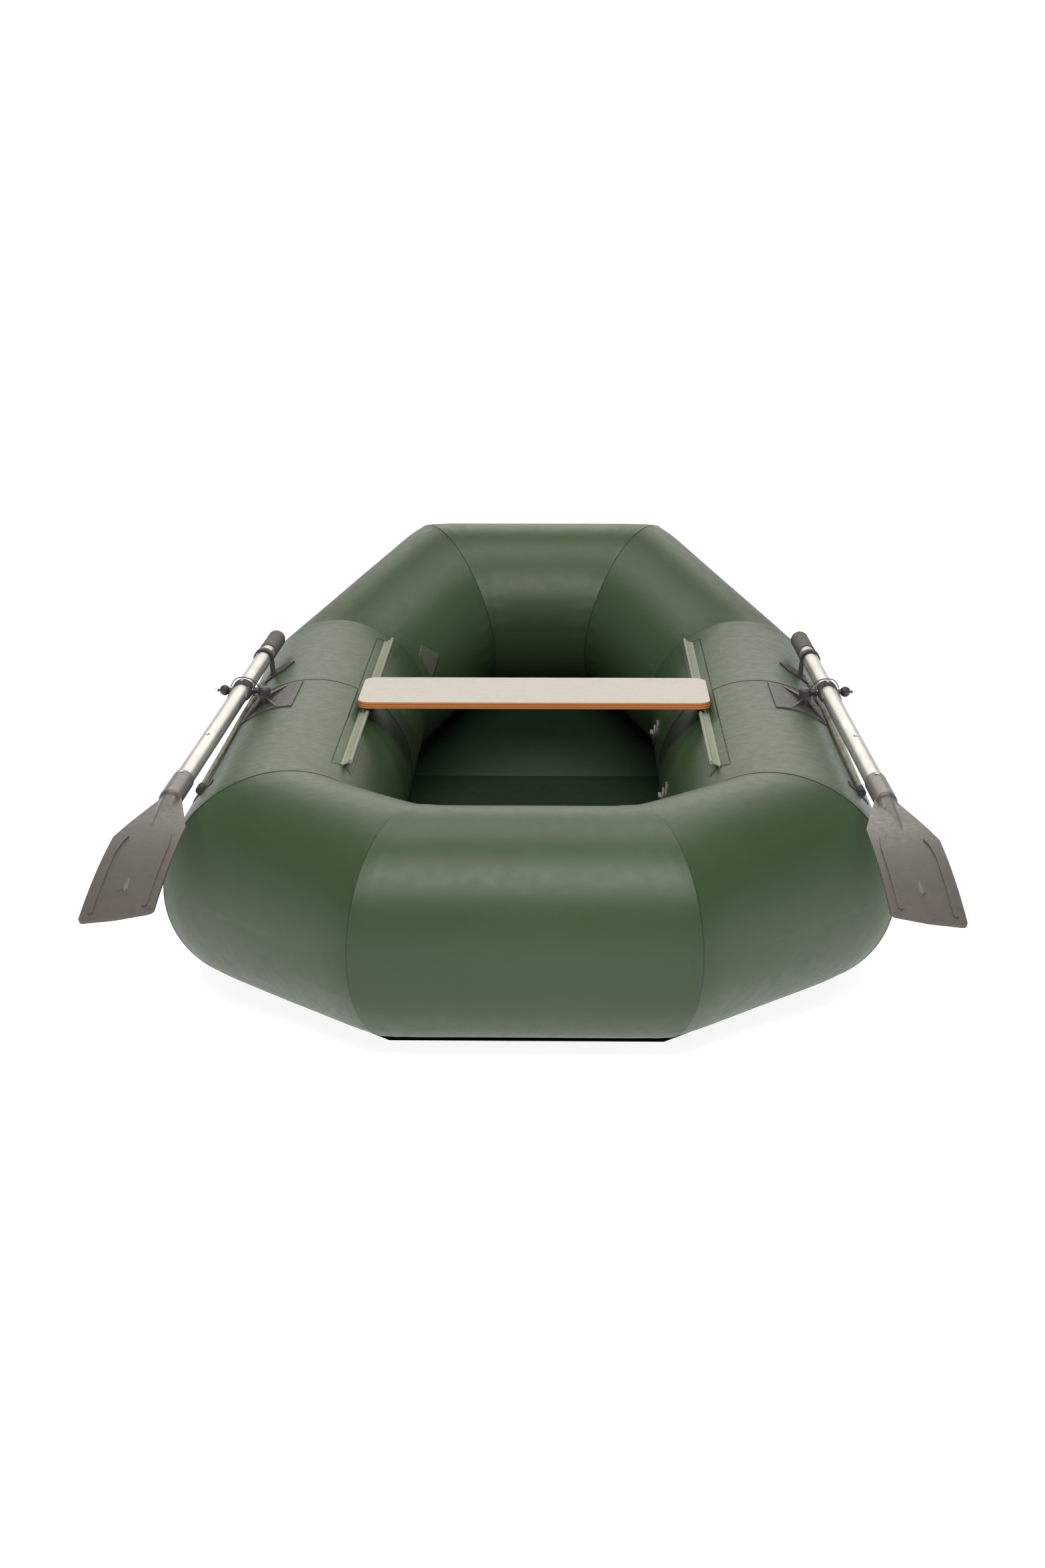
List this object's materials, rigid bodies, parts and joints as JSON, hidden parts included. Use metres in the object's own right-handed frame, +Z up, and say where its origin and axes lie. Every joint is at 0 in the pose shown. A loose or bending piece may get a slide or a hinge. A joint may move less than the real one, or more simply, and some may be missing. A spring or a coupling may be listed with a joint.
{
  "type": "inflatable rowing dinghy",
  "caption": "Open inflatable rowing dinghy: tube hull with a raised bow, sheet bottom, bench seat that slides on side rails, and oars stowed along the hull in turning oarlocks.",
  "frame": {"origin": "on the underside of the bottom sheet, at the middle of the hull's length and beam", "axes": "+Y to the bow, +X to starboard, +Z up"},
  "size_m": [1.1748, 2.2251, 0.4891],
  "materials": {
    "tube_skin": "satin",
    "bottom_skin": "satin",
    "rail_skin": "satin",
    "rail_cord": "matt",
    "seat_board": "laminated",
    "seat_channel": "matt",
    "screw_steel": "satin",
    "black_plastic": "matt",
    "grip_rubber": "matt",
    "black_rubber": "matt",
    "oar_tube": "satin",
    "pin_steel": "satin",
    "blade_plastic": "satin",
    "rope": "matt",
    "leash": "matt",
    "valve_plastic": "matt",
    "spring_steel": "bright"
  },
  "bodies": {
    "hull": {"stern_tube": "tube_skin", "bow_tube": "tube_skin", "bulkheads": "tube_skin", "bottom_sheet": "bottom_skin", "bow_bottom_sheet": "bottom_skin", "rail_cords": "rail_cord", "rope_tabs": "black_rubber", "stern_quarter_left": "tube_skin", "stern_quarter_right": "tube_skin", "bow_quarter_left": "tube_skin", "bow_quarter_right": "tube_skin", "side_tube_left_fore": "tube_skin", "side_tube_left_aft": "tube_skin", "side_tube_right_fore": "tube_skin", "side_tube_right_aft": "tube_skin", "seat_rail_left": "rail_skin", "seat_rail_right": "rail_skin", "oarlock_base_left": "black_plastic", "oarlock_base_right": "black_plastic", "oar_holder_left": "black_rubber", "oar_holder_right": "black_rubber", "side_rope_left": "rope", "side_rope_right": "rope", "valve_body_fore": "valve_plastic", "valve_body_aft": "valve_plastic", "valve_spring_fore": "spring_steel", "valve_spring_aft": "spring_steel"},
    "seat": {"seat_plank": "seat_board", "seat_channels": "seat_channel", "seat_screws": "screw_steel"},
    "oarlock_head_left": {"oarlock_head_left": "black_plastic", "cross_pin_left": "pin_steel", "knob_leash_left": "leash"},
    "oar_left": {"oar_collar_left": "black_plastic", "oar_fasteners_left": "screw_steel", "oar_grip_left": "grip_rubber", "shaft_upper_left": "oar_tube", "shaft_lower_left": "oar_tube", "shaft_ferrule_left": "oar_tube", "oar_blade_left": "blade_plastic"},
    "stop_knob_left": {"stop_knob_left": "black_plastic", "pull_ring_left": "pin_steel"},
    "snap_button_left": {"snap_button_left": "pin_steel"},
    "oarlock_head_right": {"oarlock_head_right": "black_plastic", "cross_pin_right": "pin_steel", "knob_leash_right": "leash"},
    "oar_right": {"oar_collar_right": "black_plastic", "oar_fasteners_right": "screw_steel", "oar_grip_right": "grip_rubber", "shaft_upper_right": "oar_tube", "shaft_lower_right": "oar_tube", "shaft_ferrule_right": "oar_tube", "oar_blade_right": "blade_plastic"},
    "stop_knob_right": {"stop_knob_right": "black_plastic", "pull_ring_right": "pin_steel"},
    "snap_button_right": {"snap_button_right": "pin_steel"},
    "valve_cap_fore": {"valve_cap_fore": "valve_plastic"},
    "valve_poppet_fore": {"valve_poppet_fore": "valve_plastic"},
    "valve_cap_aft": {"valve_cap_aft": "valve_plastic"},
    "valve_poppet_aft": {"valve_poppet_aft": "valve_plastic"}
  },
  "joints": [
    {"name": "seat_slide", "type": "slide", "parent": "hull", "child": "seat", "axis": [0, 1, 0], "range_m": [-0.3, 0.4]},
    {"name": "oar_swing_left", "type": "hinge", "parent": "hull", "child": "oarlock_head_left", "pos_m": [-0.478, -0.105, 0.3505], "axis": [0, 0, -1], "range_deg": [0, 75], "deforming": ["oar_holder_left"]},
    {"name": "oar_dip_left", "type": "hinge", "parent": "oarlock_head_left", "child": "oar_left", "pos_m": [-0.51699, -0.10418, 0.3505], "axis": [0.9998, -0.0209, 0], "range_deg": [0, 15.75]},
    {"name": "stop_knob_turn_left", "type": "hinge", "parent": "oarlock_head_left", "child": "stop_knob_left", "pos_m": [-0.51699, -0.10418, 0.3505], "axis": [-0.9998, 0.0209, 0], "continuous": true},
    {"name": "button_press_left", "type": "slide", "parent": "oar_left", "child": "snap_button_left", "axis": [0, 0, 1], "range_m": [-0.0026, 0], "stiffness_N_per_m": 400, "springref_m": 0.002},
    {"name": "oar_swing_right", "type": "hinge", "parent": "hull", "child": "oarlock_head_right", "pos_m": [0.478, -0.105, 0.3505], "axis": [0, 0, 1], "range_deg": [0, 75], "deforming": ["oar_holder_right"]},
    {"name": "oar_dip_right", "type": "hinge", "parent": "oarlock_head_right", "child": "oar_right", "pos_m": [0.51699, -0.10418, 0.3505], "axis": [0.9998, 0.0209, 0], "range_deg": [0, 15.75]},
    {"name": "stop_knob_turn_right", "type": "hinge", "parent": "oarlock_head_right", "child": "stop_knob_right", "pos_m": [0.51699, -0.10418, 0.3505], "axis": [0.9998, 0.0209, 0], "continuous": true},
    {"name": "button_press_right", "type": "slide", "parent": "oar_right", "child": "snap_button_right", "axis": [0, 0, 1], "range_m": [-0.0026, 0], "stiffness_N_per_m": 400, "springref_m": 0.002},
    {"name": "valve_cap_turn_fore", "type": "hinge", "parent": "hull", "child": "valve_cap_fore", "pos_m": [0.22768, 0.19, 0.19741], "axis": [-0.9903, 0, 0.1392], "range_deg": [0, 270]},
    {"name": "valve_poppet_press_fore", "type": "slide", "parent": "hull", "child": "valve_poppet_fore", "axis": [-0.9903, 0, 0.1392], "range_m": [-0.004, 0], "stiffness_N_per_m": 300, "springref_m": 0.003, "deforming": ["valve_spring_fore"]},
    {"name": "valve_cap_turn_aft", "type": "hinge", "parent": "hull", "child": "valve_cap_aft", "pos_m": [0.22768, -0.24, 0.19741], "axis": [-0.9903, 0, 0.1392], "range_deg": [0, 270]},
    {"name": "valve_poppet_press_aft", "type": "slide", "parent": "hull", "child": "valve_poppet_aft", "axis": [-0.9903, 0, 0.1392], "range_m": [-0.004, 0], "stiffness_N_per_m": 300, "springref_m": 0.003, "deforming": ["valve_spring_aft"]}
  ],
  "couplings": [
    {"joint": "oar_dip_left", "follows": "oar_swing_left", "ratio": 0.21},
    {"joint": "oar_dip_right", "follows": "oar_swing_right", "ratio": 0.21}
  ]
}
